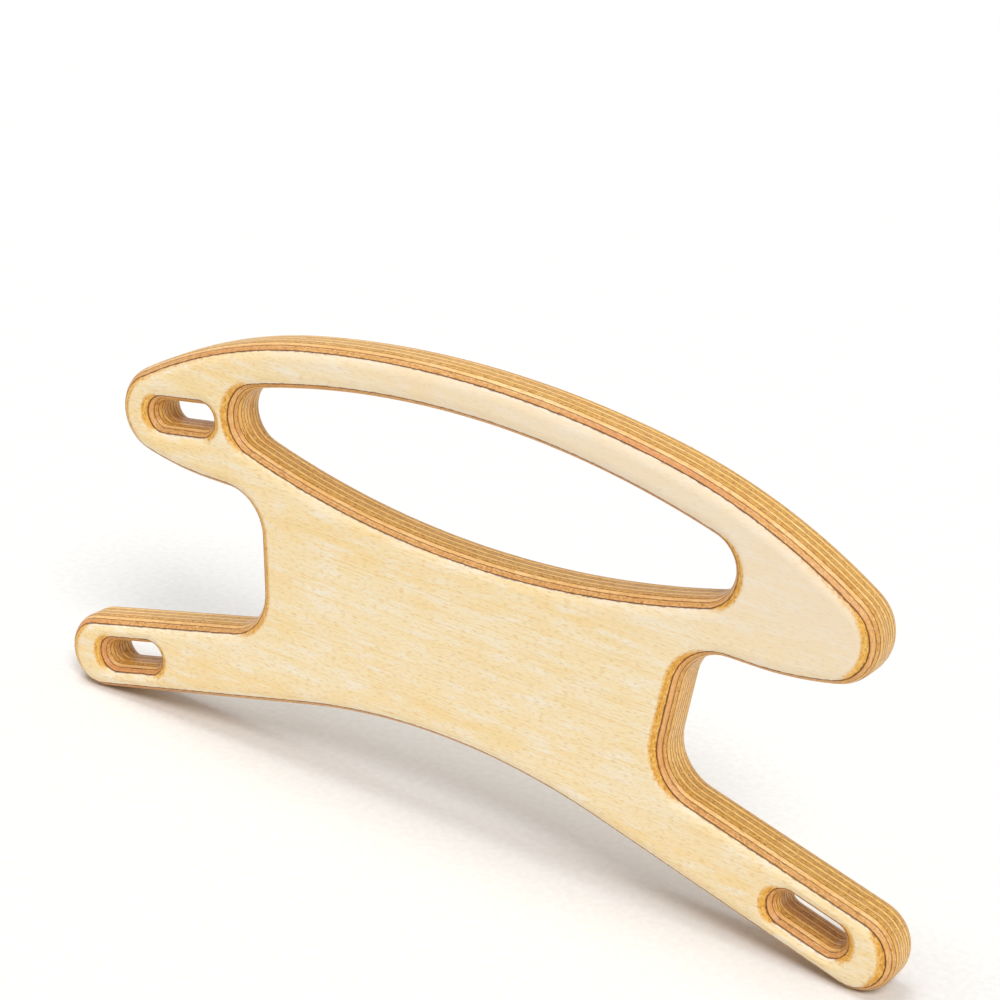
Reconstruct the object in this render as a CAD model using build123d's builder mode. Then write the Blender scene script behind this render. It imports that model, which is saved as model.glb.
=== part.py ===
"""Hand winder for fishing line and cord, routed from birch plywood.

The winder stands upright on its two leg ends. X runs along its length, Y through its thickness with the
front face towards -Y, and Z up. The origin is on the floor, under the middle of the panel. Millimetres.

The panel is a stack of veneers, each with the resin that bonds it, whose grain runs by turns along X and
along Z. Every edge of both faces is rounded over, so the outer veneers stand back one by one. Each of them
is a solid of its own, and its edge is the straight bevel between its two insets. The veneers in the middle
of the thickness share one straight edge and are one solid, the core.
"""

import os
from math import acos, asin, atan2, cos, degrees, radians, sin, sqrt, tan

from build123d import *

# Lay-up of the panel. On each side of the core lie a few cross and long veneers, then the face veneer
FACE_VENEER = 1.3
INNER_VENEER = 1.4
OUTER_VENEER_COUNT = 3  # between the face veneer and the core, on each side
CORE_VENEER_COUNT = 5
EDGE_RADIUS = 6.0  # round-over on every edge of both faces
EDGE_BREAK = 0.12  # depth at which the round-over is taken to reach the face

# Waist, where the line is wound: its walls lean out towards the top. Horns, legs and grip reach past it
WAIST_HALF_WIDTH = 76.3
WAIST_HEIGHT = 60.0  # height at which the half width is measured
WAIST_LEAN = 6.6
UPPER_NOTCH_RADIUS = 13.8
LOWER_NOTCH_RADIUS = 14.6

# Top rail and upper horns: three arcs that flow into each other, then the belly of the horn
HEIGHT = 150.6
CROWN_RADIUS = 354.0
CROWN_SETBACK = 10.6  # from the half width of the waist in to the end of the crown
SHOULDER_RADIUS = 187.0
SHOULDER_ANGLE = 21.6
HORN_TIP_RADIUS = 14.9
BELLY_RADIUS = 109.0
BELLY_ANGLE = 13.9

# Legs: straight bars with fully round ends, and the arch between them
LEG_OVERHANG = 67.9  # from the half width of the waist out to the centre of the round end
LEG_HALF_WIDTH = 13.0
LEG_ANGLE = 14.5
ARCH_HEIGHT = 29.6

# Hand grip: a lens between two equal arcs, with rounded ends
RAIL_WIDTH = 14.5
GRIP_HEIGHT = 43.0
GRIP_OVERHANG = 35.6  # from the half width of the waist out to the sharp tip of the lens
GRIP_END_RADIUS = 10.2

# Cord slots, one in each leg and one in the left upper horn, in line with the centre of the round end
SLOT_WIDTH = 8.0
SLOT_TRAVEL = 15.5  # between the centres of its round ends
LEG_SLOT_INSET = 15.5  # from the centre of the leg's round end to the middle of the slot
HORN_SLOT_INSET = 11.3  # from the centre of the horn's tip to the middle of the slot
HORN_SLOT_ANGLE = 9.5

CORE_THICKNESS = CORE_VENEER_COUNT * INNER_VENEER
THICKNESS = CORE_THICKNESS + 2 * (OUTER_VENEER_COUNT * INNER_VENEER + FACE_VENEER)
VENEER_COUNT = CORE_VENEER_COUNT + 2 * (OUTER_VENEER_COUNT + 1)
CROWN_ANGLE = degrees(asin((WAIST_HALF_WIDTH - CROWN_SETBACK) / CROWN_RADIUS))
LEG_REACH = WAIST_HALF_WIDTH + LEG_OVERHANG
LEG_SINE = sin(radians(LEG_ANGLE))
LEG_COSINE = cos(radians(LEG_ANGLE))
LEG_SLOPE = tan(radians(LEG_ANGLE))


def waist_x(z):
    """Half width of the waist at a height."""
    return WAIST_HALF_WIDTH + (z - WAIST_HEIGHT) * tan(radians(WAIST_LEAN))


def leg_edge_point(side):
    """Where the leg's straight edge meets its round end: side 1 is the upper edge, -1 the lower one."""
    x = LEG_REACH + side * LEG_HALF_WIDTH * LEG_SINE
    return (x, LEG_HALF_WIDTH * (1 + side * LEG_COSINE))


def waist_foot():
    """Sharp corner between the waist and the leg's upper edge, before it is rounded."""
    edge_x, edge_z = leg_edge_point(1)
    lean = tan(radians(WAIST_LEAN))
    rise = edge_z + LEG_SLOPE * edge_x - WAIST_HEIGHT
    x = (WAIST_HALF_WIDTH + rise * lean) / (1 + LEG_SLOPE * lean)
    return (x, edge_z + LEG_SLOPE * (edge_x - x))


def arch_radius():
    """Radius of the arch that touches both legs and reaches the arch height in the middle."""
    edge_x, edge_z = leg_edge_point(-1)
    peak = edge_z + LEG_SLOPE * edge_x
    return (peak - ARCH_HEIGHT) * LEG_COSINE / (1 - LEG_COSINE)


def horn_tip_centre():
    """Centre of the right horn's round tip, reached by way of the centres of the crown and the shoulder."""
    crown_end = radians(CROWN_ANGLE)
    shoulder_end = radians(CROWN_ANGLE + SHOULDER_ANGLE)
    crown_run = CROWN_RADIUS - SHOULDER_RADIUS
    shoulder_run = SHOULDER_RADIUS - HORN_TIP_RADIUS
    x = crown_run * sin(crown_end) + shoulder_run * sin(shoulder_end)
    z = HEIGHT - CROWN_RADIUS + crown_run * cos(crown_end) + shoulder_run * cos(shoulder_end)
    return (x, z)


def draw_outline():
    """Outer outline of the panel, drawn flat: its right half and the mirror image."""
    with BuildSketch() as outline:
        with BuildLine():
            crown = JernArc((0, HEIGHT), (1, 0), CROWN_RADIUS, -CROWN_ANGLE)
            shoulder = JernArc(crown @ 1, crown % 1, SHOULDER_RADIUS, -SHOULDER_ANGLE)
            tip_angle = 180 - CROWN_ANGLE - SHOULDER_ANGLE - BELLY_ANGLE
            tip = JernArc(shoulder @ 1, shoulder % 1, HORN_TIP_RADIUS, -tip_angle)
            belly = JernArc(tip @ 1, tip % 1, BELLY_RADIUS, -BELLY_ANGLE)
            horn_root = (waist_x((belly @ 1).Y), (belly @ 1).Y)
            waist = FilletPolyline(
                belly @ 1,
                horn_root,
                waist_foot(),
                leg_edge_point(1),
                radius=[UPPER_NOTCH_RADIUS, LOWER_NOTCH_RADIUS],
            )
            leg_end = JernArc(waist @ 1, waist % 1, LEG_HALF_WIDTH, -180)
            radius = arch_radius()
            leg_belly = Line(leg_end @ 1, (radius * LEG_SINE, ARCH_HEIGHT - radius * (1 - LEG_COSINE)))
            JernArc(leg_belly @ 1, leg_belly % 1, radius, LEG_ANGLE)
            mirror(about=Plane.YZ)
        make_face()
    return outline.sketch


def draw_grip():
    """Outline of the hand grip, drawn flat: its right half and the mirror image."""
    half_length = WAIST_HALF_WIDTH + GRIP_OVERHANG
    radius = half_length**2 / GRIP_HEIGHT + GRIP_HEIGHT / 4
    sweep = degrees(acos((radius - GRIP_HEIGHT / 2) / (radius - GRIP_END_RADIUS)))
    with BuildSketch() as grip:
        with BuildLine():
            top = JernArc((0, HEIGHT - RAIL_WIDTH), (1, 0), radius, -sweep)
            end = JernArc(top @ 1, top % 1, GRIP_END_RADIUS, 2 * sweep - 180)
            JernArc(end @ 1, end % 1, radius, -sweep)
            mirror(about=Plane.YZ)
        make_face()
    return grip.sketch


def cord_slot_place(end_centre, inset, angle, side):
    """Position and tilt of a cord slot: from the centre of a round end it slopes up towards the middle."""
    x = end_centre[0] - inset * cos(radians(angle))
    z = end_centre[1] + inset * sin(radians(angle))
    return Location((side * x, z), -side * angle)


def draw_openings():
    """Outlines of the hand grip and the cord slots, drawn flat."""
    leg_end = (LEG_REACH, LEG_HALF_WIDTH)
    slot_places = [
        cord_slot_place(leg_end, LEG_SLOT_INSET, LEG_ANGLE, 1),
        cord_slot_place(leg_end, LEG_SLOT_INSET, LEG_ANGLE, -1),
        cord_slot_place(horn_tip_centre(), HORN_SLOT_INSET, HORN_SLOT_ANGLE, -1),
    ]
    with BuildSketch() as openings:
        add(draw_grip())
        with Locations(*slot_places):
            SlotCenterToCenter(SLOT_TRAVEL, SLOT_WIDTH)
    return openings.sketch


def edge_inset(depth):
    """How far the round-over stands back from the outlines at a depth under the face."""
    rise = max(EDGE_RADIUS - max(depth, EDGE_BREAK), 0)
    return EDGE_RADIUS - sqrt(EDGE_RADIUS**2 - rise**2)


def cut_veneer(outline, openings, depth, thickness):
    """A veneer of the front half. Its edges lean back from its inner side to its outer one."""
    inner_inset = edge_inset(depth + thickness)
    bevel = degrees(atan2(edge_inset(depth) - inner_inset, thickness))
    inner_side = Plane.XZ.offset(THICKNESS / 2 - depth - thickness)
    with BuildPart() as veneer:
        for profile, growth, mode in ((outline, -1, Mode.ADD), (openings, 1, Mode.SUBTRACT)):
            with BuildSketch(inner_side):
                add(profile)
                offset(amount=growth * inner_inset)
            extrude(amount=thickness, taper=-growth * bevel, mode=mode)
    return veneer.part


def cut_core(outline, openings):
    """The middle of the panel, where the edges are straight."""
    with BuildPart() as core:
        with BuildSketch(Plane.XZ):
            add(outline)
            add(openings, mode=Mode.SUBTRACT)
        extrude(amount=CORE_THICKNESS / 2, both=True)
    return core.part


def veneer_name(number):
    """Face veneers and long veneers have their grain along X, and cross veneers have it along Z."""
    if number == 1:
        return "face_veneer_front"
    if number == VENEER_COUNT:
        return "face_veneer_back"
    kind = "long_veneer" if number % 2 else "cross_veneer"
    return f"{kind}_{number:02d}"


def write_piece(piece, name):
    """Names a piece and writes its file."""
    piece.label = name
    export_step(piece, f"parts/{name}.step")


def build_winder():
    """All the pieces. The veneers of the back half are mirror images of those of the front half."""
    outline = draw_outline()
    openings = draw_openings()
    write_piece(cut_core(outline, openings), "core_veneers")
    depth = 0.0
    for number in range(1, OUTER_VENEER_COUNT + 2):
        thickness = FACE_VENEER if number == 1 else INNER_VENEER
        front = cut_veneer(outline, openings, depth, thickness)
        with BuildPart() as back:
            mirror(front, about=Plane.XZ)
        write_piece(front, veneer_name(number))
        write_piece(back.part, veneer_name(VENEER_COUNT + 1 - number))
        depth += thickness


os.makedirs("parts", exist_ok=True)
build_winder()
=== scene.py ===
"""Looks of the plywood line winder, in the part's own frame, in metres.

Each veneer and each resin film of the panel is made as its own smooth piece, round the outline that the
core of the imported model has. The veneers take the place of the plain solids.
"""

import math
import random

import bpy
import numpy as np
from mathutils import Matrix, Vector
from mathutils.geometry import delaunay_2d_cdt, tessellate_polygon


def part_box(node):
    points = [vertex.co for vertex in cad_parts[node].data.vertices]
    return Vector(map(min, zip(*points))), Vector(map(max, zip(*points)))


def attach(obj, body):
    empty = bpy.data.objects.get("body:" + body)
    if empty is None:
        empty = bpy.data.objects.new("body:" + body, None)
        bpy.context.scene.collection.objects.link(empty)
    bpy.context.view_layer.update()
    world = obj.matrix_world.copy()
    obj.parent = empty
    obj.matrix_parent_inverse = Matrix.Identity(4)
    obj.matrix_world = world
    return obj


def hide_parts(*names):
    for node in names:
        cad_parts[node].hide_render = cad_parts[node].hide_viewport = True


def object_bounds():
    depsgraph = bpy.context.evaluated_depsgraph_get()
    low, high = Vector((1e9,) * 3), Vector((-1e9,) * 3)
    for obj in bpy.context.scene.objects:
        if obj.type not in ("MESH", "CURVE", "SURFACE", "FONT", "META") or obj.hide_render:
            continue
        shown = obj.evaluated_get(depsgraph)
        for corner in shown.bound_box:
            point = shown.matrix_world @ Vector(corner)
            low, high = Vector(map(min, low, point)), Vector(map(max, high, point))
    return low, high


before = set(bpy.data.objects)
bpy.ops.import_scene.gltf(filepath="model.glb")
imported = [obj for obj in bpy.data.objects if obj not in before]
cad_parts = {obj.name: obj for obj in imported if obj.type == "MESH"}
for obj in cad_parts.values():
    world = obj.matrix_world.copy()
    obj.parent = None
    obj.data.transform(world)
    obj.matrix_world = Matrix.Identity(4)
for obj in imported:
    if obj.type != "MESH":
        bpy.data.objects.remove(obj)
cad_box = [list(corner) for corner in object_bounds()]

MM = 0.001

# Lay-up of the panel, from the front face to the back face
VENEER_COUNT = 13
FACE_VENEER = 1.25 * MM
INNER_VENEER = 1.30 * MM
RESIN_FILM = 0.10 * MM
EDGE_RADIUS = 6.0 * MM
FRONT = cad_box[0][1]
THICKNESS = cad_box[1][1] - cad_box[0][1]

# Meshing of the outline and of the rounded edges
OUTLINE_STEP = 2.0 * MM
PROFILE_STEP = math.radians(5)
ROW_GAP = 0.02 * MM
RIDGE_INSET = 4.3 * MM  # slots and rim come closer than two edge radii from here inwards
RING_INSETS = [4.6 * MM, 4.9 * MM, 5.2 * MM, 5.5 * MM, 5.75 * MM, 6.0 * MM]
RING_SLACK = 0.03 * MM
MERGE_DISTANCE = 1e-9
TINY = 1e-7

# Camera: where the photograph was taken from, in metres and degrees, and through which lens
CAMERA_PLACE = (0.3864, -0.6109, 0.39625)
CAMERA_AZIMUTH = 31.846  # round from the front towards +X
CAMERA_ELEVATION = 21.603
CAMERA_ROLL = 5.196
FOCAL_SHARE = 2.5613  # focal length over the picture's width
SENSOR_MM = 36.0

# Light: two wide lamps, each with its direction, softness in degrees and strength, and an even world
KEY_SUN = ((0.75, -0.75, 1.2), 22, 1.65)
TOP_SUN = ((-0.35, -0.05, 1.2), 30, 1.2)
WORLD_LIGHT = 0.42
BACKDROP = 1.0
FLOOR_REACH = 6.0

BIRCH_SEED = 7
RESIN_SEED = 57


def srgb(red, green, blue):
    """A colour as it looks on screen, from 0 to 255, as the linear colour that a shader takes."""
    def linear(value):
        share = value / 255
        return share / 12.92 if share <= 0.04045 else ((share + 0.055) / 1.055) ** 2.4
    return (linear(red), linear(green), linear(blue), 1.0)


# ---------------------------------------------------------------- outline of the panel

def node_at(depth):
    """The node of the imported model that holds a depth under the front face."""
    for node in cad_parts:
        low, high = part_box(node)
        if low.y < FRONT + depth < high.y:
            return node


def cap_edges(node):
    """Points (x, z) of the front end of a straight-sided node, and the edges on the border of that end."""
    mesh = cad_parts[node].data
    low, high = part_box(node)
    keys, points, counts = {}, [], {}
    for polygon in mesh.polygons:
        if abs(polygon.normal.y) < 0.99 or polygon.center.y > (low.y + high.y) / 2:
            continue
        ring = []
        for index in polygon.vertices:
            x, _, z = mesh.vertices[index].co
            key = (round(x, 7), round(z, 7))
            if key not in keys:
                keys[key] = len(points)
                points.append((x, z))
            ring.append(keys[key])
        for a, b in zip(ring, ring[1:] + ring[:1]):
            edge = (min(a, b), max(a, b))
            counts[edge] = counts.get(edge, 0) + 1
    return points, [edge for edge, count in counts.items() if count == 1]


def cap_loops(node):
    """The border of a node's front end as loops of (x, z) points that turn left, the outer one first."""
    points, edges = cap_edges(node)
    neighbours = {}
    for a, b in edges:
        neighbours.setdefault(a, []).append(b)
        neighbours.setdefault(b, []).append(a)
    loops = []
    while neighbours:
        start = next(iter(neighbours))
        loop, last, here = [start], None, start
        while True:
            after = [n for n in neighbours[here] if n != last][0]
            last, here = here, after
            if here == start:
                break
            loop.append(here)
        for index in loop:
            del neighbours[index]
        loops.append(np.array([points[i] for i in loop]))
    loops.sort(key=lambda loop: -abs(signed_area(loop)))
    return [loop if signed_area(loop) > 0 else loop[::-1] for loop in loops]


def signed_area(loop):
    x, z = loop[:, 0], loop[:, 1]
    return 0.5 * float(np.sum(x * np.roll(z, -1) - np.roll(x, -1) * z))


def flowing(loop):
    """The loop with points added between its own, on a curve that flows through them. It stays in the
    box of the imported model."""
    after = np.roll(loop, -1, 0)
    tangent = after - np.roll(loop, 1, 0)
    tangent /= np.linalg.norm(tangent, axis=1)[:, None]
    points = []
    for a, b, leave, arrive in zip(loop, after, tangent, np.roll(tangent, -1, 0)):
        length = float(np.linalg.norm(b - a))
        count = math.ceil(length / OUTLINE_STEP)
        for t in (i / count for i in range(count)):
            bend = length * (t * (1 - t) ** 2 * leave - t * t * (1 - t) * arrive)
            points.append(a + (b - a) * t * t * (3 - 2 * t) + bend)
    return np.clip(points, cad_box[0][::2], cad_box[1][::2])


def loop_normals(loop, outer):
    """Unit vectors that point away from the wood."""
    tangent = np.roll(loop, -1, 0) - np.roll(loop, 1, 0)
    tangent /= np.linalg.norm(tangent, axis=1)[:, None]
    away = np.stack([tangent[:, 1], -tangent[:, 0]], 1)
    return away if outer else -away


LOOPS = [flowing(loop) for loop in cap_loops(node_at(THICKNESS / 2))]
NORMALS = [loop_normals(loop, number == 0) for number, loop in enumerate(LOOPS)]


def nearest_on_outline(points):
    """Distance from each point to the outline, and the unit vector from the outline to the point."""
    best = np.full(len(points), np.inf)
    toward = np.zeros((len(points), 2))
    for loop in LOOPS:
        for a, b in zip(loop, np.roll(loop, -1, 0)):
            along = np.clip(((points - a) @ (b - a)) / float((b - a) @ (b - a)), 0, 1)
            gap = points - (a + along[:, None] * (b - a))
            distance = np.linalg.norm(gap, axis=1)
            closer = distance < best
            best[closer] = distance[closer]
            toward[closer] = gap[closer]
    return best, toward / np.maximum(best, TINY)[:, None]


def inside_wood(points, loops):
    """Whether each point lies between the outer loop and the holes."""
    odd = np.zeros(len(points), bool)
    for loop in loops:
        for (x0, z0), (x1, z1) in zip(loop, np.roll(loop, -1, 0)):
            crosses = (z0 > points[:, 1]) != (z1 > points[:, 1])
            if z1 != z0:
                reach = (x1 - x0) * (points[:, 1] - z0) / (z1 - z0) + x0
                odd ^= crosses & (points[:, 0] < reach)
    return odd


# ---------------------------------------------------------------- rounded edge

def height_in_edge(depth):
    """How high a depth lies in the rounded edge of the nearer face: from 0 where the edge is straight to
    the edge radius at the face."""
    return max(EDGE_RADIUS - min(depth, THICKNESS - depth), 0.0)


def inset_at(depth):
    """How far the rounded edge stands back from the outline at a depth under the front face."""
    return EDGE_RADIUS - math.sqrt(max(EDGE_RADIUS ** 2 - height_in_edge(depth) ** 2, 0.0))


def depth_of_inset(inset):
    """The depth at which the rounded edge of the front face stands back so far."""
    return EDGE_RADIUS - math.sqrt(EDGE_RADIUS ** 2 - (EDGE_RADIUS - inset) ** 2)


def tilt_at(depth):
    """Cosine and sine of the edge normal's tilt towards the face, towards -Y at the front."""
    lift = height_in_edge(depth) / EDGE_RADIUS
    side = -1 if depth < THICKNESS / 2 else 1
    return math.sqrt(max(1 - lift * lift, 0.0)), side * lift


def profile_depths(start, end):
    """Depths of the rows of a piece's edge, close enough for a smooth curve."""
    quarter = math.radians(90)
    steps = int(quarter / PROFILE_STEP)
    curve = [EDGE_RADIUS * (1 - math.cos(step * quarter / steps)) for step in range(steps + 1)]
    between = sorted(d for depth in curve for d in (depth, THICKNESS - depth) if start < d < end)
    rows = [start]
    for depth in between:
        if depth - rows[-1] > ROW_GAP and end - depth > ROW_GAP:
            rows.append(depth)
    return rows + [end]


def ring_points():
    """Points (x, z) on rings inside the outline, without those that lie nearer to another stretch of it."""
    rings = []
    for inset in RING_INSETS:
        for loop, away in zip(LOOPS, NORMALS):
            ring = loop - away * inset
            distance, _ = nearest_on_outline(ring)
            rings.append(ring[distance > inset - RING_SLACK])
    return np.concatenate(rings)


class Piece:
    """Vertices, faces and the normal at each vertex of one layer. A face of a flat end has the end's side
    in its place in flat_sides, and any other face has 0."""

    def __init__(self):
        self.points, self.normals, self.faces, self.flat_sides = [], [], [], []

    def row(self, depth):
        """Adds one row of points round every loop and returns the first index of each loop."""
        inset, (level, lift) = inset_at(depth), tilt_at(depth)
        starts = []
        for loop, away in zip(LOOPS, NORMALS):
            starts.append(len(self.points))
            for (x, z), (nx, nz) in zip(loop, away):
                self.points.append((x - nx * inset, FRONT + depth, z - nz * inset))
                self.normals.append((nx * level, lift, nz * level))
        return starts

    def wall(self, upper, lower):
        """Faces between two rows."""
        for number, (a, b, loop) in enumerate(zip(upper, lower, LOOPS)):
            count = len(loop)
            for i in range(count):
                j = (i + 1) % count
                quad = (a + i, b + i, b + j, a + j)
                self.faces.append(quad if number == 0 else quad[::-1])
                self.flat_sides.append(0)

    def cap(self, starts, side):
        """Closes a row with flat triangles that look towards -Y or +Y."""
        polygons, index = [], []
        for start, loop in zip(starts, LOOPS):
            ids = range(start, start + len(loop))
            polygons.append([Vector((self.points[i][0], self.points[i][2], 0)) for i in ids])
            index += ids
        for triangle in tessellate_polygon(polygons):
            self.add_facing([index[i] for i in triangle], side, side)

    def crown(self, starts, side):
        """Closes a face veneer: the last of the rounded edge and the flat face, with the low ridges where
        the edge of a slot runs into the edge of the rim."""
        ids, border, rims = [], [], []
        for start, loop in zip(starts, LOOPS):
            first, count = len(ids), len(loop)
            ids += range(start, start + count)
            border += [(first + i, first + (i + 1) % count) for i in range(count)]
            rims.append(np.array([self.points[i][::2] for i in ids[first:]]))
        ids += self.add_crown_points(side)
        plane = [Vector(self.points[i][::2]) for i in ids]
        _, _, triangles, origin, _, _ = delaunay_2d_cdt(plane, border, [], 0, MERGE_DISTANCE)
        triangles = [[origin[i][0] for i in triangle] for triangle in triangles]
        centres = np.array([np.mean([plane[i] for i in triangle], axis=0) for triangle in triangles])
        for triangle, keep in zip(triangles, inside_wood(centres, rims)):
            if keep:
                self.add_facing([ids[i] for i in triangle], side, 0)

    def add_crown_points(self, side):
        """Adds the points inside the rim of a face veneer and returns their indices."""
        first = len(self.points)
        spots = ring_points()
        distance, toward = nearest_on_outline(spots)
        rise = np.maximum(EDGE_RADIUS - distance, 0)
        depths = EDGE_RADIUS - np.sqrt(np.maximum(EDGE_RADIUS ** 2 - rise ** 2, 0))
        for (x, z), (ux, uz), depth in zip(spots, toward, depths):
            lift = 1 - depth / EDGE_RADIUS
            level = math.sqrt(max(1 - lift ** 2, 0.0))
            self.points.append((x, FRONT + depth if side < 0 else FRONT + THICKNESS - depth, z))
            self.normals.append((-ux * level, side * lift, -uz * level))
        return range(first, len(self.points))

    def add_facing(self, ids, side, flat_side):
        """Adds a triangle, turned so that it looks to the side."""
        a, b, c = (np.array(self.points[i]) for i in ids)
        if np.cross(b - a, c - a)[1] * side < 0:
            ids = ids[::-1]
        self.faces.append(tuple(ids))
        self.flat_sides.append(flat_side)

    def build(self, name, material):
        mesh = bpy.data.meshes.new(name)
        mesh.from_pydata(self.points, [], self.faces)
        mesh.update()
        mesh.shade_smooth()
        corners = []
        for polygon, side in zip(mesh.polygons, self.flat_sides):
            corners += [(0, side, 0) if side else self.normals[index] for index in polygon.vertices]
        mesh.normals_split_custom_set(corners)
        mesh.materials.append(material)
        piece = bpy.data.objects.new(name, mesh)
        bpy.context.scene.collection.objects.link(piece)
        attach(piece, "root")
        return piece


def layer_piece(name, start, end, material):
    """One veneer or film between two depths under the front face."""
    piece = Piece()
    ridge = depth_of_inset(RIDGE_INSET)
    first = max(start, ridge)
    last = min(end, THICKNESS - ridge)
    rows = [piece.row(depth) for depth in profile_depths(first, last)]
    for upper, lower in zip(rows, rows[1:]):
        piece.wall(upper, lower)
    for row, side, reaches_face in ((rows[0], -1, start < ridge), (rows[-1], 1, end > THICKNESS - ridge)):
        if reaches_face:
            piece.crown(row, side)
        else:
            piece.cap(row, side)
    return piece.build(name, material)


# ---------------------------------------------------------------- materials

class Nodes:
    """Short calls for the shader nodes of one material."""

    def __init__(self, name):
        self.material = bpy.data.materials.new(name)
        self.material.use_nodes = True
        self.tree = self.material.node_tree
        self.shader = self.tree.nodes["Principled BSDF"]

    def new(self, kind, **values):
        node = self.tree.nodes.new(kind)
        for key, value in values.items():
            setattr(node, key, value)
        return node

    def link(self, out, into):
        """Joins an output to an input, or writes a number or a colour into the input."""
        if isinstance(out, (int, float, tuple)):
            into.default_value = out
        else:
            self.tree.links.new(out, into)

    def split(self, vector):
        node = self.new("ShaderNodeSeparateXYZ")
        self.link(vector, node.inputs[0])
        return node.outputs

    def math(self, operation, *values, clamp=False):
        node = self.new("ShaderNodeMath", operation=operation, use_clamp=clamp)
        for value, socket in zip(values, node.inputs):
            self.link(value, socket)
        return node.outputs[0]

    def ramp(self, value, low, high, to_low=0.0, to_high=1.0):
        node = self.new("ShaderNodeMapRange", interpolation_type="SMOOTHSTEP")
        for key, number in zip(("Value", "From Min", "From Max", "To Min", "To Max"),
                               (value, low, high, to_low, to_high)):
            self.link(number, node.inputs[key])
        return node.outputs["Result"]

    def mix(self, share, a, b):
        node = self.new("ShaderNodeMix", data_type="RGBA")
        self.link(share, node.inputs["Factor"])
        self.link(a, node.inputs[6])
        self.link(b, node.inputs[7])
        return node.outputs[2]

    def noise(self, place, scale, detail, roughness, shift=(0, 0, 0)):
        """Noise with its own size along X, Y and Z, in cycles per metre."""
        mapping = self.new("ShaderNodeMapping")
        mapping.inputs["Scale"].default_value = scale
        mapping.inputs["Location"].default_value = shift
        self.link(place, mapping.inputs["Vector"])
        node = self.new("ShaderNodeTexNoise")
        node.inputs["Scale"].default_value = 1.0
        node.inputs["Detail"].default_value = detail
        node.inputs["Roughness"].default_value = roughness
        self.link(mapping.outputs[0], node.inputs["Vector"])
        return node.outputs["Fac"]


def random_shift(seed):
    """Where a material lies in the noise."""
    rng = random.Random(seed)
    return tuple(rng.uniform(-9, 9) for _ in range(3))


def wood_noises(n, where, along_x, shift):
    """The noises of one veneer by name. The first three are drawn out along its grain."""
    def grain(along, across):
        return (along, across, across) if along_x else (across, across, along)
    return {
        "fibre": n.noise(where, grain(26.0, 1500.0), 4.0, 0.6, shift),
        "dash": n.noise(where, grain(420.0, 1700.0), 2.0, 0.55, shift),
        "figure": n.noise(where, grain(14.0, 90.0), 3.0, 0.6, shift),
        "mottle": n.noise(where, (70.0, 260.0, 260.0), 4.0, 0.65, shift),
        "ply_line": n.noise(where, (30.0, 4200.0, 30.0), 2.0, 0.5, shift),
        "speckle": n.noise(where, (850.0, 2300.0, 850.0), 2.0, 0.7, shift),
        "fleck": n.noise(where, (750.0, 2000.0, 750.0), 2.0, 0.7, shift[::-1]),
        "blush": n.noise(where, (9.0, 9.0, 14.0), 1.0, 0.5, shift),
        "wander": n.noise(where, (450.0, 10.0, 450.0), 4.0, 0.7, shift),
    }


def side_grain(n, noises, tilt, tones):
    """Colour where the fibres lie in the surface. On the edge, lines run along the ply; on the face veneer
    the near-white edge tone is a painted highlight on the rounded edge, with some real paleness of the
    sanded edge.
    """
    wood = n.mix(n.ramp(noises["figure"], 0.32, 0.68), tones["light"], tones["warm"])
    wood = n.mix(n.ramp(noises["mottle"], 0.42, 0.70, 0.0, 0.7), wood, tones["pale"])
    wood = n.mix(n.ramp(noises["fibre"], 0.46, 0.72, 0.0, 0.8), wood, tones["streak"])
    wood = n.mix(n.ramp(noises["dash"], 0.48, 0.74, 0.0, 0.7), wood, tones["pore"])
    # On the face veneer this mix lays a painted highlight along the rounded edge
    edge = n.mix(n.ramp(noises["ply_line"], 0.38, 0.66, 0.0, 0.5), wood, tones["line"])
    on_face = n.ramp(n.math("ABSOLUTE", tilt["Y"]), 0.80, 0.98)
    return n.mix(on_face, edge, wood)


def end_grain(n, noises, depth, start, end, tones):
    """Colour where the surface cuts across the fibres: speckled, and darkest in the middle of a ply that
    has a core tone."""
    cut = n.mix(n.ramp(noises["ply_line"], 0.35, 0.68), tones["end_light"], tones["end_dark"])
    cut = n.mix(n.ramp(noises["speckle"], 0.50, 0.64, 0.0, 0.85), cut, tones["end_pore"])
    cut = n.mix(n.ramp(noises["fleck"], 0.51, 0.66, 0.0, 0.8), cut, tones["fleck"])
    if "end_core" in tones:
        from_middle = n.math("ABSOLUTE", n.math("SUBTRACT", depth, (start + end) / 2))
        cut = n.mix(n.ramp(from_middle, 0.0, (end - start) / 2, tones["band"], 0.0), cut, tones["end_core"])
    return cut


def paint_rail_sheen(n, axes, across, wood, tone):
    """Paints a pale sheen onto the face, rising up the panel and towards its right end, but not where it is
    cut: a painted highlight, not a tone of the wood.
    """
    toward_rail = n.math("MULTIPLY_ADD", axes["X"], 0.3, axes["Z"])
    painted_sheen = n.math("MULTIPLY", n.ramp(toward_rail, 0.09, 0.16), n.math("SUBTRACT", 1.0, across))
    return n.mix(n.math("MULTIPLY", painted_sheen, 0.6), wood, tone)


def film_soak(n, noises, depth, start, end):
    """From 1 beside a resin film to 0 where its ragged reach into the wood ends."""
    gaps = []
    if start > 0:
        gaps.append(n.math("SUBTRACT", depth, start))
    if end < THICKNESS - TINY:
        gaps.append(n.math("SUBTRACT", end, depth))
    to_film = n.math("MINIMUM", *gaps) if len(gaps) == 2 else gaps[0]
    reach = n.ramp(noises["wander"], 0.32, 0.70, 0.07 * MM, 0.38 * MM)
    return n.math("SUBTRACT", 1.0, n.math("DIVIDE", to_film, reach), clamp=True)


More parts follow.
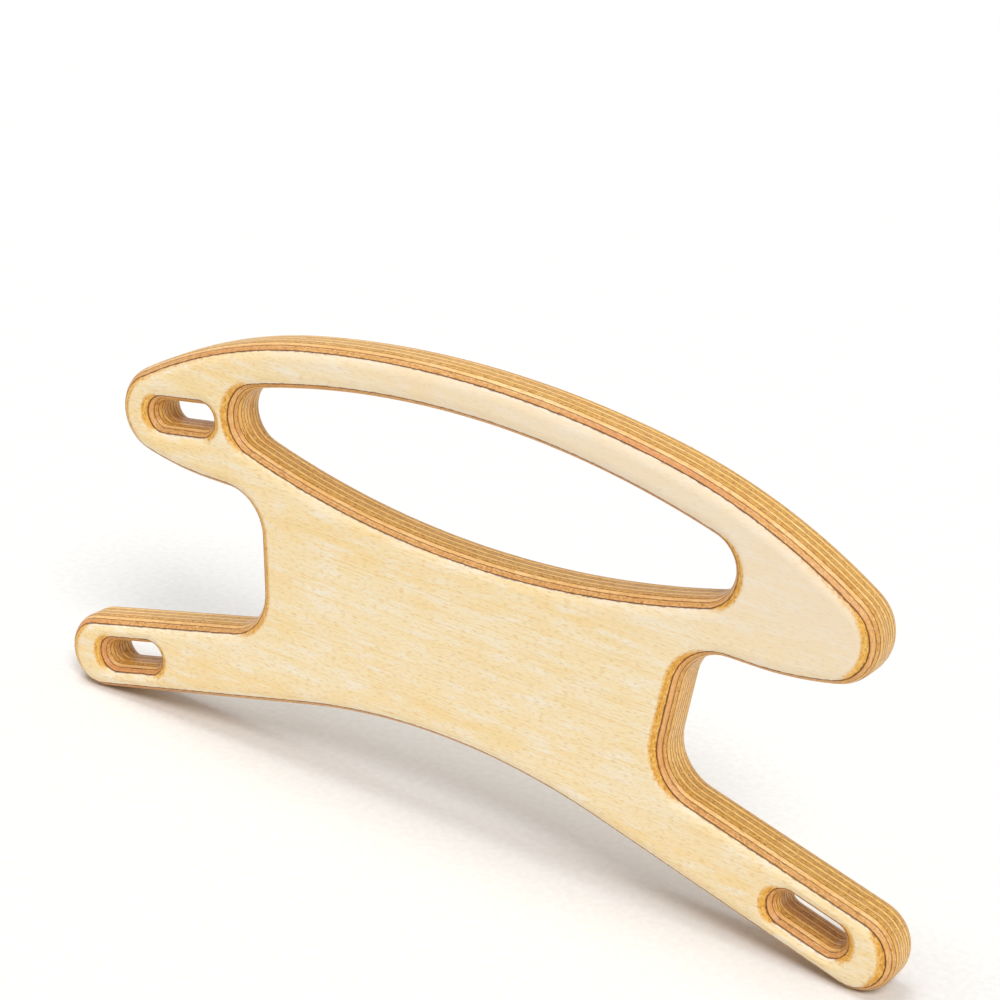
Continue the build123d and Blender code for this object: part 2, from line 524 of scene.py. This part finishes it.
def birch(name, along_x, start, end, tones, seed):
    """Varnished birch between two depths, with its grain along X or along Z."""
    n = Nodes(name)
    place = n.new("ShaderNodeTexCoord")
    where = place.outputs["Object"]
    axes, tilt = n.split(where), n.split(place.outputs["Normal"])
    noises = wood_noises(n, where, along_x, random_shift(seed))
    depth = n.math("SUBTRACT", axes["Y"], FRONT)

    facing = n.math("ABSOLUTE", tilt["X" if along_x else "Z"])
    ragged = n.math("ADD", facing, n.ramp(noises["speckle"], 0.3, 0.7, -0.02, 0.02))
    across = n.ramp(ragged, *tones["end_range"])
    wood = n.mix(across, side_grain(n, noises, tilt, tones), end_grain(n, noises, depth, start, end, tones))
    if "blush" in tones:
        wood = n.mix(n.ramp(noises["blush"], 0.5, 0.7, 0.0, tones["blush"]), wood, tones["blush_tone"])
    # Painted highlight: a pale sheen laid on the face up the panel and towards its right end
    if "painted_sheen" in tones:
        wood = paint_rail_sheen(n, axes, across, wood, tones["painted_sheen"])
    soak = film_soak(n, noises, depth, start, end)
    wood = n.mix(n.math("MULTIPLY", soak, tones["soak"]), wood, tones["resin"])

    n.link(wood, n.shader.inputs["Base Color"])
    n.link(n.ramp(noises["mottle"], 0.3, 0.7, 0.32, 0.48), n.shader.inputs["Roughness"])
    n.shader.inputs["Specular IOR Level"].default_value = 0.28
    bump = n.new("ShaderNodeBump")
    bump.inputs["Strength"].default_value = 0.12
    bump.inputs["Distance"].default_value = 0.05 * MM
    n.link(n.math("ADD", noises["fibre"], n.math("MULTIPLY", noises["dash"], 0.6)), bump.inputs["Height"])
    n.link(bump.outputs[0], n.shader.inputs["Normal"])
    return n.material


def resin(name, tones, seed):
    """Cured dark resin, darkest where it is thick and brown where the wood shows through."""
    n = Nodes(name)
    shift = random_shift(seed)
    where = n.new("ShaderNodeTexCoord").outputs["Object"]
    patch = n.noise(where, (150.0, 10.0, 150.0), 3.0, 0.6, shift)
    fine = n.noise(where, (900.0, 900.0, 900.0), 2.0, 0.6, shift)
    colour = n.mix(n.ramp(patch, 0.35, 0.68), tones["thick"], tones["thin"])
    colour = n.mix(n.ramp(fine, 0.5, 0.8, 0.0, 0.5), colour, tones["fleck"])
    n.link(colour, n.shader.inputs["Base Color"])
    n.link(n.ramp(fine, 0.3, 0.7, 0.38, 0.55), n.shader.inputs["Roughness"])
    n.shader.inputs["Specular IOR Level"].default_value = 0.08
    return n.material


# The first film lies under the face veneer and is thick and dark. The inner ones are thin and brown
OUTER_FILM_TONES = {"thick": srgb(78, 24, 20), "thin": srgb(132, 66, 42), "fleck": srgb(98, 40, 28)}
INNER_FILM_TONES = {"thick": srgb(108, 60, 24), "thin": srgb(162, 106, 48), "fleck": srgb(132, 80, 34)}

# Tones of the veneers. Those from light to the edge line colour the side grain; on the face veneer that
# edge tone is near-white, painted highlight with some real paleness of the sanded round-over. Those from
# end_light to fleck colour the end grain. end_range says how far a surface has to face along the grain for
# the one to turn into the other, and band, blush and soak say how much of their tones shows
FACE_TONES = {
    "light": srgb(245, 226, 186), "warm": srgb(245, 216, 158), "pale": srgb(244, 236, 220),
    # The face veneer's near-white edge tone on the next line is painted highlight on the rounded edge,
    # partly the sanded edge's own paleness
    "streak": srgb(240, 210, 150), "pore": srgb(226, 191, 130), "line": srgb(252, 244, 230),
    "end_light": srgb(234, 180, 86), "end_dark": srgb(220, 156, 58), "end_pore": srgb(194, 130, 46),
    "fleck": srgb(240, 198, 116), "end_range": (0.14, 0.34),
    # The first tone on the next line is the pale colour of a painted sheen, not of the wood
    "painted_sheen": srgb(238, 222, 202), "resin": srgb(76, 34, 20), "soak": 0.95,
}
# Veneers 2 and 3 from each face, which the round-over cuts at a slant
SECOND_TONES = {
    "light": srgb(238, 184, 116), "warm": srgb(230, 172, 100), "pale": srgb(244, 200, 136),
    "streak": srgb(212, 150, 82), "pore": srgb(182, 122, 62), "line": srgb(212, 150, 82),
    "end_light": srgb(230, 178, 112), "end_dark": srgb(212, 156, 90), "end_pore": srgb(158, 104, 54),
    "end_core": srgb(196, 138, 72), "band": 0.5, "fleck": srgb(248, 206, 148), "end_range": (0.25, 0.80),
    "blush_tone": srgb(208, 136, 86), "blush": 0.5, "resin": srgb(110, 60, 28), "soak": 0.75,
}
THIRD_TONES = {
    "light": srgb(248, 208, 142), "warm": srgb(242, 192, 118), "pale": srgb(252, 222, 170),
    "streak": srgb(228, 170, 94), "pore": srgb(200, 140, 72), "line": srgb(228, 172, 98),
    "end_light": srgb(234, 182, 108), "end_dark": srgb(210, 152, 78), "end_pore": srgb(166, 108, 48),
    "end_core": srgb(202, 144, 70), "band": 0.4, "fleck": srgb(248, 210, 150), "end_range": (0.30, 0.85),
    "blush_tone": srgb(224, 172, 116), "blush": 0.3, "resin": srgb(120, 68, 30), "soak": 0.7,
}
# The veneers of the straight edge in the middle, with their grain along X and along Z
LONG_TONES = {
    "light": srgb(252, 208, 122), "warm": srgb(244, 194, 98), "pale": srgb(254, 222, 152),
    "streak": srgb(222, 164, 76), "pore": srgb(188, 128, 50), "line": srgb(222, 166, 80),
    "end_light": srgb(252, 210, 132), "end_dark": srgb(234, 182, 100), "end_pore": srgb(178, 120, 52),
    "end_core": srgb(224, 170, 90), "band": 0.3, "fleck": srgb(254, 226, 166), "end_range": (0.30, 0.85),
    "blush_tone": srgb(220, 166, 104), "blush": 0.3, "resin": srgb(120, 68, 28), "soak": 0.7,
}
CROSS_TONES = {
    "light": srgb(252, 206, 126), "warm": srgb(248, 194, 108), "pale": srgb(254, 220, 150),
    "streak": srgb(226, 168, 86), "pore": srgb(190, 132, 60), "line": srgb(224, 168, 86),
    "end_light": srgb(238, 188, 100), "end_dark": srgb(214, 158, 66), "end_pore": srgb(122, 74, 20),
    "end_core": srgb(178, 120, 38), "band": 0.6, "fleck": srgb(254, 222, 154), "end_range": (0.25, 0.80),
    "blush_tone": srgb(206, 140, 78), "blush": 0.3, "resin": srgb(120, 68, 28), "soak": 0.7,
}
OUTER_TONES = {1: FACE_TONES, 2: SECOND_TONES, 3: THIRD_TONES}


# ---------------------------------------------------------------- the winder

def build_veneer(number, depth, thickness):
    """One veneer, counted from the front, in place of the solid that lies there."""
    rank = min(number, VENEER_COUNT + 1 - number)
    along_x = number % 2 == 1
    tones = OUTER_TONES.get(rank, LONG_TONES if along_x else CROSS_TONES)
    material = birch(f"birch_{number:02d}", along_x, depth, depth + thickness, tones, BIRCH_SEED + number)
    piece = layer_piece(f"veneer_{number:02d}", depth, depth + thickness, material)
    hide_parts(node_at(depth + thickness / 2))


def build_film(number, depth):
    """The resin film behind a veneer. It lies where two solids, or two veneers of the core, meet."""
    tones = OUTER_FILM_TONES if number in (1, VENEER_COUNT - 1) else INNER_FILM_TONES
    material = resin(f"resin_{number:02d}", tones, RESIN_SEED + number)
    layer_piece(f"film_{number:02d}", depth, depth + RESIN_FILM, material)


def build_winder():
    depth = 0.0
    for number in range(1, VENEER_COUNT + 1):
        thickness = FACE_VENEER if number in (1, VENEER_COUNT) else INNER_VENEER
        build_veneer(number, depth, thickness)
        depth += thickness
        if number < VENEER_COUNT:
            build_film(number, depth)
            depth += RESIN_FILM


# ---------------------------------------------------------------- stage, light and camera

def build_floor():
    corners = [(-FLOOR_REACH, -FLOOR_REACH, 0), (FLOOR_REACH, -FLOOR_REACH, 0),
               (FLOOR_REACH, FLOOR_REACH, 0), (-FLOOR_REACH, FLOOR_REACH, 0)]
    mesh = bpy.data.meshes.new("floor")
    mesh.from_pydata(corners, [], [(0, 1, 2, 3)])
    n = Nodes("floor_paper")
    where = n.new("ShaderNodeTexCoord").outputs["Object"]
    fleck = n.ramp(n.noise(where, (400.0, 400.0, 400.0), 3.0, 0.6), 0.3, 0.7)
    n.link(n.mix(fleck, srgb(237, 236, 234), srgb(243, 242, 240)), n.shader.inputs["Base Color"])
    n.shader.inputs["Roughness"].default_value = 0.9
    n.shader.inputs["Specular IOR Level"].default_value = 0.1
    mesh.materials.append(n.material)
    floor = bpy.data.objects.new("floor", mesh)
    bpy.context.scene.collection.objects.link(floor)


def build_world():
    """White where it is seen, straight on, reflected or through glass, and softer as a light."""
    world = bpy.data.worlds.new("studio")
    bpy.context.scene.world = world
    world.use_nodes = True
    tree = world.node_tree
    background = tree.nodes["Background"]
    path = tree.nodes.new("ShaderNodeLightPath")
    seen = path.outputs["Is Camera Ray"]
    for kind in ("Is Glossy Ray", "Is Transmission Ray"):
        either = tree.nodes.new("ShaderNodeMath")
        either.operation = "MAXIMUM"
        tree.links.new(seen, either.inputs[0])
        tree.links.new(path.outputs[kind], either.inputs[1])
        seen = either.outputs[0]
    strength = tree.nodes.new("ShaderNodeMapRange")
    strength.inputs["To Min"].default_value = WORLD_LIGHT
    strength.inputs["To Max"].default_value = BACKDROP
    tree.links.new(seen, strength.inputs["Value"])
    tree.links.new(strength.outputs["Result"], background.inputs["Strength"])
    background.inputs["Color"].default_value = (1.0, 1.0, 1.0, 1.0)


def soft_sun(name, direction, softness, strength):
    """Even light from one side, with the soft shadows of a wide lamp."""
    sun = bpy.data.lights.new(name, "SUN")
    sun.angle = math.radians(softness)
    sun.energy = strength
    holder = bpy.data.objects.new(name, sun)
    bpy.context.scene.collection.objects.link(holder)
    holder.rotation_euler = Vector(direction).to_track_quat("Z", "Y").to_euler()


def build_camera():
    around = Matrix.Rotation(math.radians(CAMERA_AZIMUTH), 4, "Z")
    down = Matrix.Rotation(math.radians(90 - CAMERA_ELEVATION), 4, "X")
    roll = Matrix.Rotation(math.radians(CAMERA_ROLL), 4, "Z")
    lens = bpy.data.cameras.new("camera")
    lens.sensor_width = SENSOR_MM
    lens.lens = FOCAL_SHARE * SENSOR_MM
    lens.clip_start = 0.01
    camera = bpy.data.objects.new("camera", lens)
    camera.matrix_world = Matrix.Translation(CAMERA_PLACE) @ around @ down @ roll
    bpy.context.scene.collection.objects.link(camera)
    bpy.context.scene.camera = camera


build_camera()
build_winder()
build_floor()
build_world()
soft_sun("key", *KEY_SUN)
soft_sun("top", *TOP_SUN)
bpy.context.scene.view_settings.view_transform = "Standard"

bpy.context.view_layer.update()
